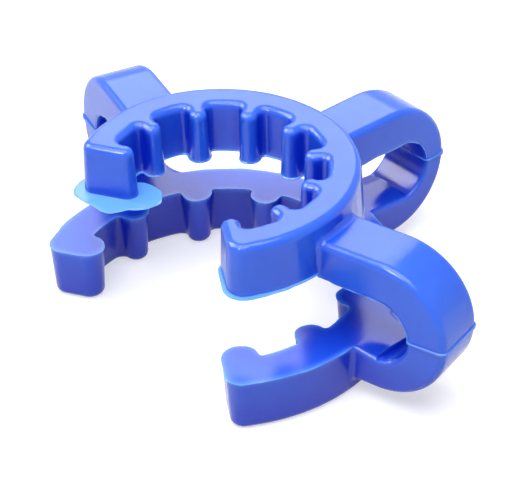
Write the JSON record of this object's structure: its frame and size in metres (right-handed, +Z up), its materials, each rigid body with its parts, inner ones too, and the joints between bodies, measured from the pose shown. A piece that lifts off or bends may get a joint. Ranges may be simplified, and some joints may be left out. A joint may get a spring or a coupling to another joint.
{
  "type": "ground glass joint clip",
  "caption": "One-piece plastic clip of two open ribbed rings joined by C-shaped spring bows, which snaps round a cone and socket glass joint and holds it together.",
  "frame": {"origin": "on the shared axis of the two rings, in the plane of the lower ring's underside", "axes": "+Z up the rings' axis from the wide socket ring to the narrow tube ring; the rings open towards -Y and the back bow points to +Y"},
  "size_m": [0.0532, 0.0365, 0.0175],
  "materials": {
    "blue_plastic": "glossy, slightly translucent acetal"
  },
  "bodies": {
    "root": {"clip": "blue_plastic"}
  },
  "joints": []
}
